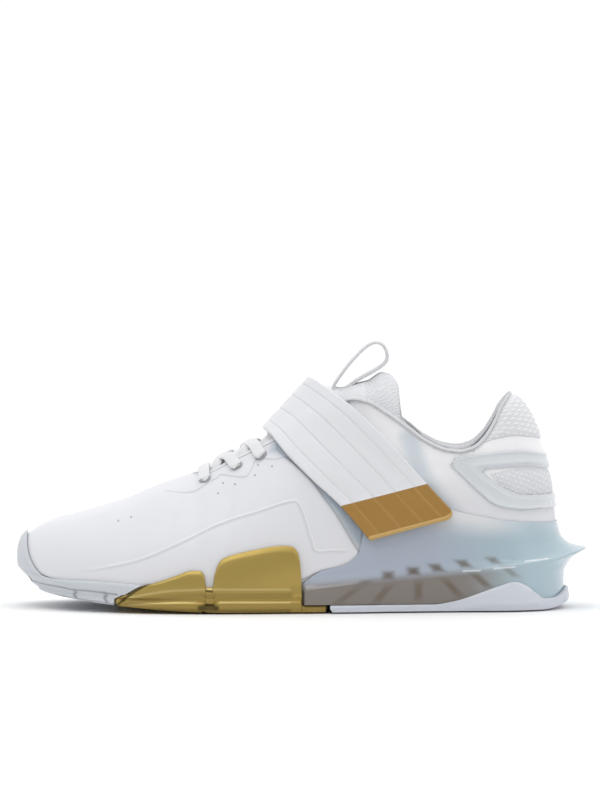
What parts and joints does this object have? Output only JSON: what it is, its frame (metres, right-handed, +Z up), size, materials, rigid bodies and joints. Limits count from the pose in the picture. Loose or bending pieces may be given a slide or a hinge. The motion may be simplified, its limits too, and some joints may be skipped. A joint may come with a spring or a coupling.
{
  "type": "weightlifting shoe",
  "caption": "Low weightlifting shoe for the left foot, with a raised rigid heel, laced throat, wide instep strap, padded tongue with pull loop and wrapped rubber sole.",
  "frame": {"origin": "on the floor, under the middle of the shoe's length and width", "axes": "-X towards the toe, +X towards the heel, -Y the outer side of the foot, +Z up"},
  "size_m": [0.3078, 0.1096, 0.1428],
  "materials": {
    "upper": "white synthetic leather, satin",
    "pale_rubber": "pale blue-grey rubber, satin",
    "gold_rubber": "gold metallic rubber, satin",
    "heel_rubber": "pale grey rubber, satin",
    "blue_plastic": "milky ice-blue moulded plastic, glossy",
    "midsole_foam": "dense foam, matt",
    "insole_cloth": "cloth-faced foam",
    "mesh": "white knit over padding",
    "strap_cloth": "white coated strap, satin",
    "gold_tip": "gold-brown film, satin",
    "webbing": "white webbing",
    "film": "white film, satin",
    "lace_cloth": "white woven lace",
    "ring": "grey ring, satin"
  },
  "bodies": {
    "root": {"upper": "upper", "outsole_forefoot": "pale_rubber", "outsole_midfoot": "gold_rubber", "outsole_heel": "heel_rubber", "heel_clip": "blue_plastic", "midsole": "midsole_foam", "insole": "insole_cloth", "tongue": "mesh", "strap": "strap_cloth", "strap_tip": "gold_tip", "pull_loop": "webbing", "heel_counter": "film", "lace": "lace_cloth", "eyelet_outer_1": "ring", "eyelet_outer_2": "ring", "eyelet_outer_3": "ring", "eyelet_inner_1": "ring", "eyelet_inner_2": "ring", "eyelet_inner_3": "ring"}
  },
  "joints": []
}
